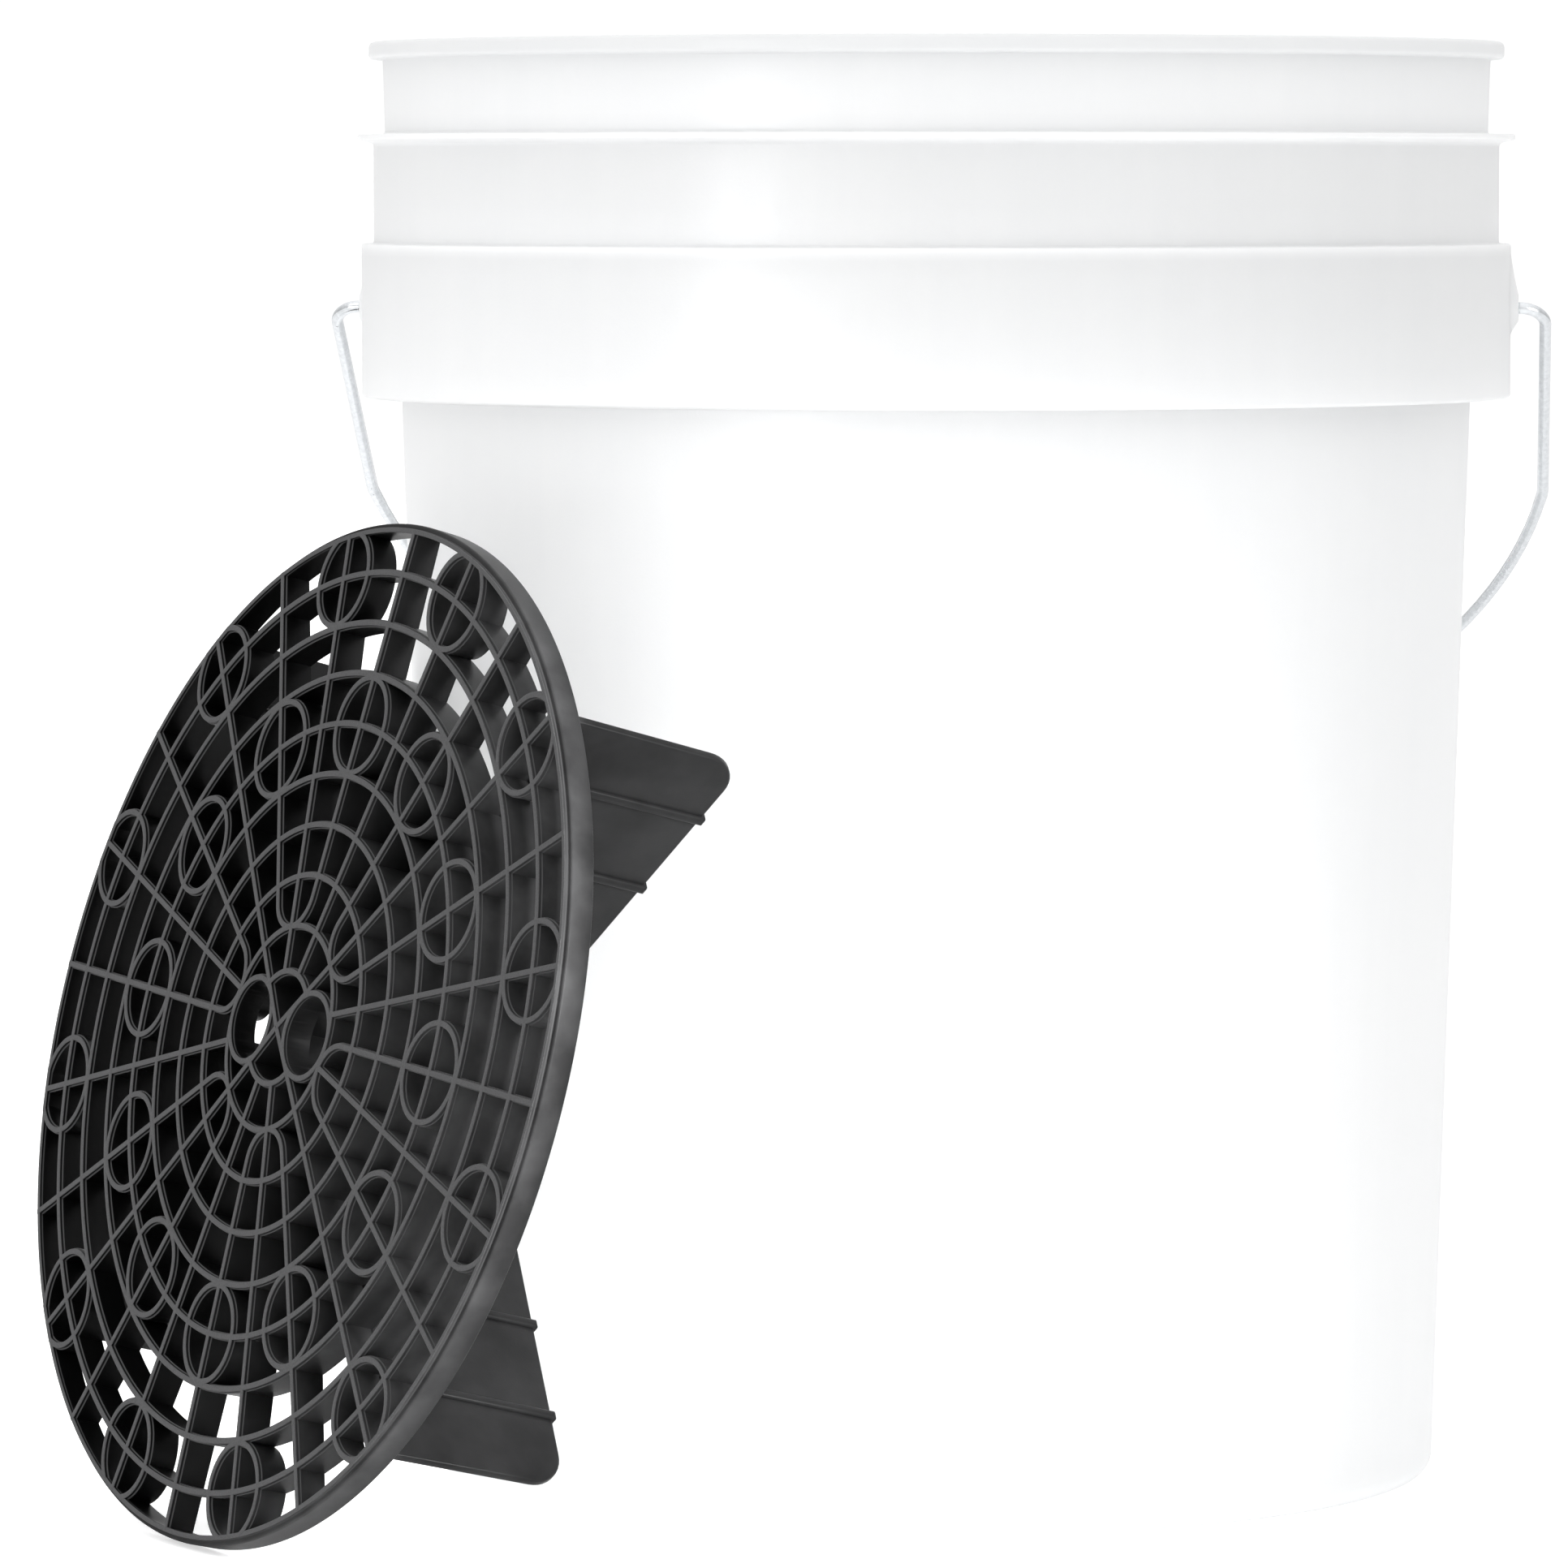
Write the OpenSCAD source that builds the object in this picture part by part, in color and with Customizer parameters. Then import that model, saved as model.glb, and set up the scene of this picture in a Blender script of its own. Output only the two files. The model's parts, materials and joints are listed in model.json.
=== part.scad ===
// Round plastic wash bucket: a tapered pail with a stepped collar, a wire bail
// with a turning grip, and a removable grit guard that leans against it.
// Millimetres. +Z is up, and the origin is the centre of the pail's underside.

/* [Pail] */
// Height of the pail from the floor to the top of the rim
pail_h = 376.5; // [340:0.5:400]
// Outside radius of the rim bead
rim_r = 149; // [147:0.5:155]
// Outside radius of the wall at the floor
foot_r = 131.6; // [128:0.1:133]
// Outside radius of the wall at the second flange
wall_top_r = 142.6; // [140:0.1:143]
// Thickness of the moulded wall
wall_t = 2.2; // [1.8:0.1:2.6]
// Thickness of the floor
floor_t = 2.8; // [2:0.1:5]
// Outside rounding between the floor and the wall
foot_round = 5; // [3:0.5:7]

/* [Collar] */
// Height of the second flange's top face
flange_z = 352.4; // [348:0.1:356]
// Outside radius of the second flange
flange_r = 152; // [149:0.1:154]
// Outside radius of the plain band under the second flange
band_r = 147.8; // [146.5:0.1:149]
// Height of the collar's top face
collar_z = 323.8; // [318:0.1:328]
// Height of the collar's open lower edge
collar_low_z = 283.6; // [275:0.1:292]
// Outside radius of the collar
collar_r = 151; // [150:0.1:153]
// Thickness of the band, the collar and their flanges
skirt_t = 1.8; // [1.4:0.1:2.2]

/* [Bail] */
// Height of the ears' common axis
ear_z = 307; // [300:0.5:312]
// Radius of the round boss of each ear
ear_r = 9; // [7:0.5:12]
// How far each ear stands out past the collar
ear_out = 1.6; // [1:0.1:3]
// Radius of the steel wire
wire_r = 1.55; // [1.4:0.05:1.8]
// Distance from the pail's axis to the centre line of each straight leg
leg_x = 160; // [158:0.5:166]
// Inward lean of each leg, in degrees
leg_lean = 1.2; // [0:0.1:2]
// Radius of the wire's sweep between the legs and the grip
sweep_r = 161.4; // [160:0.1:164]
// Distance from the ears' axis to the centre of that sweep
sweep_s = 45.3; // [40:0.1:50]
// Turn of the ears' axis about the pail's axis, in degrees
bail_yaw = 5; // [0:0.5:10]
// Angle of the resting bail from straight down, in degrees
bail_rest = 48.5; // [48.5:0.5:60]
// Outside radius of the grip
grip_r = 10.8; // [9:0.1:10.8]
// Length of the grip
grip_len = 88; // [70:1:90]

/* [Grit guard] */
// Outside radius of the guard's rim
guard_r = 130.5; // [125:0.1:130.5]
// Depth of the rim and of the grid's ribs
guard_depth = 7.6; // [6:0.1:8]
// Thickness of the grid's ribs
rib_t = 1.6; // [1.2:0.1:2]
// Rise of the grid's centre above its rim
dome = 4; // [0:0.5:6]
// Number of spokes
spokes = 24; // [24]
// Turn of the spokes from the guard's level diameter, in degrees
grid_turn = -3.2; // [-10:0.1:10]
// Height of the fins below the rim's top face
fin_h = 56; // [45:1:56]
// Thickness of the fins
fin_t = 2.4; // [1.8:0.1:3]
// Tilt of the leaning guard from lying flat, in degrees
guard_lean = 75.54; // [75:0.01:80]
// Turn of the leaning guard about the vertical, in degrees
guard_turn = -58.43; // [-60:0.01:-56]
// Centre of the rim's top face, to the right of the pail's axis
guard_x = -161.3; // [-180:0.1:-161.3]
// Centre of the rim's top face, behind the pail's axis
guard_y = -133.5; // [-150:0.1:-133.5]

/* [Hidden] */
$fn = 96;

pail_colour = [0.93, 0.93, 0.91];
steel_colour = [0.66, 0.67, 0.68];
black_colour = [0.07, 0.07, 0.07];
grip_colour = [0.9, 0.9, 0.88];

// Pail
floor_fillet = 4;                         // inside rounding between the floor and the wall
floor_node_h = foot_round + floor_fillet; // height where the floor's moulding meets the wall
bead_h = 4.4;                             // height of the rim bead
bead_round = 1.2;                         // rounding of the bead's edges
bead_z = pail_h - bead_h;                 // underside of the bead
neck_low_r = 144.8;                       // outside of the neck at the second flange
neck_top_r = 145.4;                       // outside of the neck under the bead
shelf_z = flange_z - skirt_t;             // underside of the neck's step and of the flange
flange_t = 1.4;                           // thickness of the second flange at its edge
shelf_in_r = wall_top_r - wall_t;         // inside radius of the neck's step
seam = 0.02;                              // clearance between stretches of one moulding
cut_lap = 1;                              // how far a cut runs on past the face it opens
skirt_round = 0.6;                        // rounding of the collar's top edge

// Ears and bail, measured along the ears' axis from the pail's axis
ear_face = collar_r + ear_out;            // outer face of an ear
ear_in = 1.2;                             // how far an ear stands out inside the collar
ear_back = collar_r - skirt_t - ear_in;   // inner face of an ear
ear_taper = 4;                            // how much an ear narrows towards its outer face
ear_face_r = ear_r - ear_taper;           // radius of that face
ear_root_t = 0.3;                         // depth at which its taper starts inside the collar
pin_clear = 0.05;                         // running clearance round the wire in an ear
head_r = 2.6;                             // radius of the wire's flattened head
head_t = 1.2;                             // thickness of that head
head_gap = 0.4;                           // gap between the head and the ear's inner face
bend_r = 6.5;                             // radius of the bend outside an ear, on the centre line
joint_gap = 0.05;                         // half of the gap that each joint's ball fills
joint_swell = 0.03;                       // how far that ball stands proud of the wire
knee_r = 15;                              // radius of the bend from a leg into the sweep
shoulder_r = 30;                          // radius of the bend from the sweep into the straight run
grip_room = 47;                           // half of the wire's straight run through the grip
leg_reach = (leg_x - bend_r) * cos(leg_lean) + bend_r * sin(leg_lean) + bend_r;
sweep_top = leg_lean + acos((leg_reach - knee_r - sweep_s * sin(leg_lean)) / (sweep_r - knee_r));
sweep_low = acos(grip_room / (sweep_r - shoulder_r));
grip_s = sweep_s + (sweep_r - shoulder_r) * sin(sweep_low) + shoulder_r;
grip_bore = wire_r + 0.6;                 // the grip turns freely on the wire
grip_ridges = 9;                          // raised rings round the grip
grip_waist = 1.2;                         // depth of the valleys between the rings

// Guard, in its own frame: face up, with the rim's top face at z = 0
ring_gap = guard_r / 10;                  // spacing of the concentric rings
rim_t = 2.6;                              // thickness of the rim's wall
rim_step_t = 1.3;                         // width of the rim's raised inner lip
rim_step = 1.2;                           // drop from that lip to the outer band
rim_round = 0.5;                          // rounding of the outer band's top edge
grid_r = guard_r - rim_t;                 // outside of the grid
hub_ring = 2;                             // this ring closes the hub
last_ring = 9;                            // outermost ring inside the rim
eye_ring = 9;                             // ring that carries the outer eyes
inner_eye_ring = 6;                       // ring that carries the inner eyes
eye_r = ring_gap - rib_t / 2;             // centre-line radius of an eye
eye_count = spokes / 2;
hook_count = spokes / 4;                  // U-shaped ends that join pairs of spokes
spoke_step = 360 / spokes;                // angle between neighbouring spokes
hub_line_r = hub_ring * ring_gap;         // centre-line radius of the hub's ring
hub_r = hub_line_r + rib_t / 2;           // outside of the hub
hook_swell = 0.09;                        // keeps a hook's wall from lying flush with its spokes
hook_r = hub_line_r * sin(spoke_step) / (1 - sin(spoke_step)) + hook_swell;
hook_centre = hub_line_r + hook_r;        // each end reaches the hub's ring and both spokes
hook_leg_r = hook_centre * cos(spoke_step);
finger_r = hub_line_r * sin(45) / (1 + sin(45));
finger_x = hub_line_r - finger_r;         // each hole touches the hub's ring and the crossed ribs
finger_depth = 3.7;                       // depth of the finger holes' walls
notch_in = 20;                            // radius where the hub's shallow sides begin
notch_w = 14;                             // width of those shallow sides
web_r = 14.4;                             // centre-line radius of the hub's short arcs
web_depth = 11;                           // depth of the crossed ribs at the centre
web_spokes = [5, 7, 17, 19];              // spokes that reach in past the hub's ring
rib_lap = 1;                              // how far a rib's outline runs on into its neighbour
fin_count = 4;
fin_first = 45;                           // angle from the finger holes to the first fin
fin_top_r = 130.4;                        // outer edge of a fin at the rim
fin_low_r = 129.2;                        // outer edge of a fin near its foot
fin_round = 10;                           // rounding of a fin's outer foot
fin_in_r = 52;                            // inner end of a fin's level foot
fin_drop = 4;                             // start of a fin's inner edge below the crossed ribs
fin_rib_r = [80, 108];                    // radii of the stiffening ribs on a fin
fin_rib_w = 2.6;                          // width of a stiffening rib
fin_rib_t = 4.4;                          // thickness of a fin at a stiffening rib
fin_rib_out = 0.8;                        // how far a stiffening rib runs past the fin's foot

// Outside radius of the tapered wall at height z
function wall_r(z) = foot_r + (wall_top_r - foot_r) * z / shelf_z;

// Outside radius of the neck at height z
function neck_r(z) = neck_low_r + (neck_top_r - neck_low_r) * (z - shelf_z) / (bead_z - shelf_z);

// Unit vector in the bail's plane, at an angle from the ears' axis
function along(angle) = [cos(angle), sin(angle)];

// Height of the grid's top surface at radius r, in the guard's frame
function dome_z(r) = dome * (1 - r / guard_r);

// Bar w wide and h high with its two outer corners rounded, for turning
module outer_rounded(w, h, r) {
    square([w - r, h]);
    translate([0, r]) square([w, h - 2 * r]);
    translate([w - r, r]) circle(r);
    translate([w - r, h - r]) circle(r);
}

// Floor disc, its rounded corner and the first few millimetres of wall
module pail_floor() {
    out_r = wall_r(floor_node_h);
    in_r = out_r - wall_t;
    color(pail_colour)
    rotate_extrude()
    difference() {
        union() {
            square([out_r - foot_round, floor_node_h]);
            translate([0, foot_round]) square([out_r, floor_node_h - foot_round]);
            translate([out_r - foot_round, foot_round]) circle(foot_round);
        }
        translate([0, floor_t]) square([in_r - floor_fillet, floor_node_h]);
        translate([0, floor_t + floor_fillet]) square([in_r, floor_node_h]);
        translate([in_r - floor_fillet, floor_t + floor_fillet]) circle(floor_fillet);
    }
}

// Tapered wall from the floor up to the neck's step
module pail_wall() {
    low_r = wall_r(floor_node_h);
    color(pail_colour)
    rotate_extrude()
    polygon([
        [low_r - wall_t, floor_node_h + seam],
        [low_r, floor_node_h + seam],
        [wall_top_r, shelf_z],
        [shelf_in_r, shelf_z]
    ]);
}

// Wider neck above the wall, with the step that it stands on
module pail_neck() {
    color(pail_colour)
    rotate_extrude()
    polygon([
        [shelf_in_r, shelf_z],
        [neck_low_r, shelf_z],
        [neck_top_r, bead_z],
        [neck_top_r - wall_t, bead_z],
        [neck_low_r - wall_t, flange_z],
        [shelf_in_r, flange_z]
    ]);
}

// Rolled bead round the mouth
module rim_bead() {
    in_r = neck_top_r - wall_t;
    color(pail_colour)
    rotate_extrude()
    translate([in_r, bead_z])
    outer_rounded(rim_r - in_r, bead_h, bead_round);
}

// Second flange and the plain band that hangs from it
module band() {
    color(pail_colour)
    rotate_extrude() {
        polygon([
            [neck_low_r + seam, shelf_z],
            [band_r, shelf_z],
            [flange_r, flange_z - flange_t],
            [flange_r, flange_z],
            [neck_r(flange_z) + seam, flange_z]
        ]);
        translate([band_r - skirt_t, collar_z]) square([skirt_t, shelf_z - collar_z]);
    }
}

// Collar: its top flange and the deep skirt that shields the bail's ends
module collar() {
    skirt_in = collar_r - skirt_t;
    skirt_low = collar_low_z + skirt_t / 2;
    skirt_top = collar_z - skirt_t / 2;
    color(pail_colour)
    difference() {
        rotate_extrude() {
            translate([band_r - skirt_t, collar_z - skirt_t])
                outer_rounded(collar_r - band_r + skirt_t, skirt_t, skirt_round);
            translate([skirt_in, skirt_low]) square([skirt_t, skirt_top - skirt_low]);
            translate([skirt_in + skirt_t / 2, skirt_low]) circle(skirt_t / 2);
        }
        ears_at() rotate([0, 90, 0]) cylinder(r = ear_r, h = 2 * collar_r, center = true);
    }
}

// Places a child drawn along +X, at the height and turn of the ears
module ears_at() {
    translate([0, 0, ear_z]) rotate([0, 0, -bail_yaw]) children();
}

// Round boss that carries one end of the bail, drawn along +X
module ear() {
    color(pail_colour)
    difference() {
        union() {
            translate([ear_back, 0, 0]) rotate([0, 90, 0])
                cylinder(r = ear_r, h = collar_r - ear_root_t - ear_back);
            translate([collar_r - ear_root_t, 0, 0]) rotate([0, 90, 0])
                cylinder(r1 = ear_r, r2 = ear_face_r, h = ear_out + ear_root_t);
        }
        translate([ear_back - ear_out, 0, 0]) rotate([0, 90, 0])
            cylinder(r = wire_r + pin_clear, h = ear_face - ear_back + 2 * ear_out);
    }
}

module ear_right() {
    ears_at() ear();
}

module ear_left() {
    ears_at() mirror([1, 0, 0]) ear();
}

// Straight wire between two points of the bail's plane
module wire(a, b) {
    run = b - a;
    translate([a[0], a[1], 0])
    rotate([0, 0, atan2(run[1], run[0])])
    rotate([0, 90, 0])
    translate([0, 0, joint_gap])
    cylinder(r = wire_r, h = norm(run) - 2 * joint_gap);
}

// Wire bent about a point of the bail's plane, from one angle to another, and its two joints
module bent_wire(centre, r, from, to) {
    gap_turn = joint_gap / r * 180 / PI;
    translate([centre[0], centre[1], 0]) {
        rotate([0, 0, from + gap_turn])
            rotate_extrude(angle = to - from - 2 * gap_turn)
            translate([r, 0])
            circle(wire_r);
        for (angle = [from, to])
            rotate([0, 0, angle]) translate([r, 0, 0]) sphere(wire_r + joint_swell);
    }
}

// One side of the bail in its own plane: X along the ears' axis, Y from that axis to the grip
module bail_side() {
    head_x = ear_back - head_gap - head_t;
    bend_at = [leg_x - bend_r, bend_r];
    knee_at = [0, sweep_s] + (sweep_r - knee_r) * along(sweep_top);
    shoulder_at = [0, sweep_s] + (sweep_r - shoulder_r) * along(sweep_low);
    translate([head_x, 0, 0]) rotate([0, 90, 0]) cylinder(r = head_r, h = head_t);
    wire([head_x + head_t / 2, 0], [bend_at[0], 0]);
    bent_wire(bend_at, bend_r, -90, leg_lean);
    wire(bend_at + bend_r * along(leg_lean), knee_at + knee_r * along(leg_lean));
    bent_wire(knee_at, knee_r, leg_lean, sweep_top);
    sweep_wire();
    bent_wire(shoulder_at, shoulder_r, sweep_low, 90);
}

// Long sweep between a knee and a shoulder, whose joints it shares
module sweep_wire() {
    gap_turn = joint_gap / sweep_r * 180 / PI;
    translate([0, sweep_s, 0])
    rotate([0, 0, sweep_top + gap_turn])
    rotate_extrude(angle = sweep_low - sweep_top - 2 * gap_turn)
    translate([sweep_r, 0])
    circle(wire_r);
}

// Places the bail's own plane at its resting angle behind the pail
module bail_at() {
    ears_at() rotate([bail_rest - 90, 0, 0]) children();
}

module bail_wire() {
    color(steel_colour)
    bail_at() {
        bail_side();
        mirror([1, 0, 0]) bail_side();
        wire([grip_room, grip_s], [-grip_room, grip_s]);
    }
}

// Ribbed plastic grip that turns on the middle of the wire
module bail_grip() {
    pitch = grip_len / grip_ridges;
    color(grip_colour)
    bail_at()
    translate([0, grip_s, 0])
    rotate([0, 90, 0])
    difference() {
        union() {
            cylinder(r = grip_r - grip_waist, h = grip_len, center = true);
            for (i = [0 : grip_ridges - 1])
                translate([0, 0, (i + 0.5) * pitch - grip_len / 2])
                    cylinder(r = grip_r, h = pitch / 2, center = true);
        }
        cylinder(r = grip_bore, h = grip_len + 2 * cut_lap, center = true);
    }
}

// Places a child drawn in the guard's own frame as it leans on its rim's edge
module guard_at() {
    stand_z = guard_r * sin(guard_lean) + guard_depth * cos(guard_lean);
    translate([guard_x, guard_y, stand_z])
    rotate([guard_lean, 0, guard_turn])
    children();
}

// Rim with a raised inner lip and a lower outer band
module guard_rim() {
    color(black_colour)
    guard_at()
    rotate_extrude() {
        translate([grid_r, -guard_depth]) square([rim_step_t, guard_depth]);
        translate([grid_r + rim_step_t, -guard_depth])
            outer_rounded(rim_t - rim_step_t, guard_depth - rim_step, rim_round);
    }
}

// Outline of one rib that follows a circle
module ring(r) {
    difference() {
        circle(r + rib_t / 2);
        circle(r - rib_t / 2);
    }
}

// Outline of a straight rib along a radius
module spoke(angle, from, to) {
    rotate(angle) translate([from, -rib_t / 2]) square([to - from, rib_t]);
}

// Outline of the U-shaped end that joins the two spokes beside one spoke
module hook(angle) {
    rotate(angle)
    translate([hook_centre, 0])
    difference() {
        ring(hook_r);
        translate([0, -2 * hook_r]) square([2 * hook_r, 4 * hook_r]);
    }
}

// Keeps the part of an upright shape that lies in the domed grid, down to a depth
module domed(from, to, depth) {
    intersection() {
        translate([0, 0, -2 * guard_depth]) linear_extrude(3 * guard_depth) children();
        rotate_extrude()
            polygon([
                [from, dome_z(from)],
                [to, dome_z(to)],
                [to, -depth],
                [from, -depth]
            ]);
    }
}

// Rings, spokes and round eyes between the hub and the rim
module guard_grid() {
    color(black_colour)
    guard_at()
    domed(hub_r, grid_r, guard_depth)
    rotate(grid_turn)
    intersection() {
        circle(grid_r);
        union() {
            for (k = [hub_ring + 1 : last_ring]) ring(k * ring_gap);
            for (i = [0 : eye_count - 1]) {
                spoke((2 * i + 1) * spoke_step, hub_r - rib_lap, grid_r + rib_lap);
                spoke(2 * i * spoke_step, hook_leg_r, grid_r + rib_lap);
                rotate((2 * i + 1) * spoke_step) translate([eye_ring * ring_gap, 0]) ring(eye_r);
                rotate(2 * i * spoke_step) translate([inner_eye_ring * ring_gap, 0]) ring(eye_r);
            }
            for (i = [0 : hook_count - 1]) hook((4 * i + 3) * spoke_step);
        }
    }
}

// Places a child at each of the hub's two finger holes
module finger_holes_at() {
    for (a = [0, 180]) rotate(a) translate([finger_x, 0]) children();
}

// Outline of the solid corner between a finger hole and the crossed ribs
module hub_corner() {
    reach = finger_x / 2;
    difference() {
        polygon([[0, 0], [reach, -reach], [reach, reach]]);
        translate([finger_x, 0]) circle(finger_r);
    }
}

// Outline of the stretches beside the finger holes where the closing ring is as shallow as they are
module hub_sides() {
    for (a = [0, 180]) rotate(a) translate([notch_in, -notch_w / 2]) square([hub_r, notch_w]);
}

// Hub: two finger holes, crossed ribs and short arcs inside its closing ring
module guard_hub() {
    color(black_colour)
    guard_at()
    union() {
        domed(0, hub_r, guard_depth)
        rotate(grid_turn)
        difference() {
            union() {
                ring(hub_line_r);
                ring(web_r);
                for (i = web_spokes) spoke(i * spoke_step, web_r, hub_r);
            }
            finger_holes_at() circle(finger_r);
            hub_sides();
        }
        domed(0, hub_r, finger_depth)
        rotate(grid_turn) {
            difference() {
                intersection() {
                    ring(hub_line_r);
                    hub_sides();
                }
                finger_holes_at() circle(finger_r);
            }
            finger_holes_at() ring(finger_r);
            for (a = [0, 180]) rotate(a) hub_corner();
        }
        domed(0, hub_r, web_depth)
        rotate(grid_turn)
        difference() {
            for (a = [45, 135, 225, 315]) spoke(a, 0, hub_r);
            finger_holes_at() circle(finger_r - rib_t / 2);
        }
    }
}

// Upright fin under the guard, with two stiffening ribs
module fin(index) {
    low = -fin_h + fin_round;
    color(black_colour)
    guard_at()
    rotate([0, 0, grid_turn + fin_first + index * 360 / fin_count])
    rotate([90, 0, 0]) {
        translate([0, 0, -fin_t / 2])
        linear_extrude(fin_t) {
            polygon([
                [hub_r, -guard_depth],
                [fin_top_r, -guard_depth],
                [fin_low_r, low],
                [fin_low_r - fin_round, -fin_h],
                [fin_in_r, -fin_h],
                [hub_r, -web_depth - fin_drop]
            ]);
            translate([fin_low_r - fin_round, low]) circle(fin_round);
        }
        for (r = fin_rib_r)
            translate([r - fin_rib_w / 2, -fin_h - fin_rib_out, -fin_rib_t / 2])
                cube([fin_rib_w, fin_h + fin_rib_out - guard_depth, fin_rib_t]);
    }
}

module guard_fin_1() {
    fin(0);
}

module guard_fin_2() {
    fin(1);
}

module guard_fin_3() {
    fin(2);
}

module guard_fin_4() {
    fin(3);
}

pail_floor();
pail_wall();
pail_neck();
rim_bead();
band();
collar();
ear_right();
ear_left();
bail_wire();
bail_grip();
guard_rim();
guard_grid();
guard_hub();
guard_fin_1();
guard_fin_2();
guard_fin_3();
guard_fin_4();
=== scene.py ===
"""Looks of the wash bucket: a natural plastic pail, its wire bail, and a black grit guard leaning on it.

Lengths inside the functions are millimetres in a piece's own frame, and MM turns them into metres.
"""

import json
import math

import bmesh
import bpy
import numpy as np
from mathutils import Matrix, Vector

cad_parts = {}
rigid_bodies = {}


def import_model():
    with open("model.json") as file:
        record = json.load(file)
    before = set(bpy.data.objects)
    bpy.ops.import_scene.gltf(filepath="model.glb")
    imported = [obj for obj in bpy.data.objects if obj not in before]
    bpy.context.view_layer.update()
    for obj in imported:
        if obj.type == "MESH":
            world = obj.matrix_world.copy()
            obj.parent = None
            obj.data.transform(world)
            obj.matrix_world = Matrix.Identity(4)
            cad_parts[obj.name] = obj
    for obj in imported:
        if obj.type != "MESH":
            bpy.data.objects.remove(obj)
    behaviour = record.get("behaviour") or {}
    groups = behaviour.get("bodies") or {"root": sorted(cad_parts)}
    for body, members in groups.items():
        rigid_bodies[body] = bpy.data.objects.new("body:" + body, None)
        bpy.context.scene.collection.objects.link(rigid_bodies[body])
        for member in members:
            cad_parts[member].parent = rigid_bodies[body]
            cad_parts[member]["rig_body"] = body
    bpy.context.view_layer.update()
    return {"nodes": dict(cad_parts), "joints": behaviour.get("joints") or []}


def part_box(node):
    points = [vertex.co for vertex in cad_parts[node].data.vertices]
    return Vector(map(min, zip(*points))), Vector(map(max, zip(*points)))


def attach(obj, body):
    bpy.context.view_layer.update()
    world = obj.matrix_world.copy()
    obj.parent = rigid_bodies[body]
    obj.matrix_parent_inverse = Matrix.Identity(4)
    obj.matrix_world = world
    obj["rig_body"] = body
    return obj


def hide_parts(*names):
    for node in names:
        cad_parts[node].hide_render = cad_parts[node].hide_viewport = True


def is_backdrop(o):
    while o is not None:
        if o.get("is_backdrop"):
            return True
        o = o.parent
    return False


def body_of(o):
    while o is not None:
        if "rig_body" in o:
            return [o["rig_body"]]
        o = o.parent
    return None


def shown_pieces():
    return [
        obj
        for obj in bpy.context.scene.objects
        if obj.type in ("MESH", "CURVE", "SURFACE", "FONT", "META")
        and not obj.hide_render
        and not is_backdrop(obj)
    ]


MM = 0.001
UP = Vector((0, 0, 1))

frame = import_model()


# ---------------------------------------------------------------- camera and room

CAMERA_AT = (0, -2.3648, 0.3412)
CAMERA_PITCH = 0.0676        # radians below level
CAMERA_YAW = 0.0169          # radians towards the left
CAMERA_LENS = 205.8
SENSOR = 36
NEAR = 0.05
FAR = 60
FLOOR_SIZE = 14.0
FLOOR_GLOW = 0.55


def add_camera():
    """The camera, level across, at the picture's viewing angle."""
    data = bpy.data.cameras.new("camera")
    data.lens = CAMERA_LENS
    data.sensor_width = SENSOR
    data.clip_start = NEAR
    data.clip_end = FAR
    camera = bpy.data.objects.new("camera", data)
    camera.location = CAMERA_AT
    camera.rotation_euler = (math.pi / 2 - CAMERA_PITCH, 0, CAMERA_YAW)
    bpy.context.scene.collection.objects.link(camera)
    bpy.context.scene.camera = camera


def add_area(name, at, aim, size, power, spread=180, linked=None):
    """A soft light at one point, turned towards another. It may be linked to some pieces only."""
    data = bpy.data.lights.new(name, "AREA")
    data.shape = "RECTANGLE"
    data.size, data.size_y = size
    data.energy = power
    data.spread = math.radians(spread)
    light = bpy.data.objects.new(name, data)
    light.location = at
    light.rotation_euler = (Vector(aim) - Vector(at)).to_track_quat("-Z", "Y").to_euler()
    bpy.context.scene.collection.objects.link(light)
    if linked:
        light.light_linking.receiver_collection = linked
        light.light_linking.blocker_collection = linked


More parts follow.
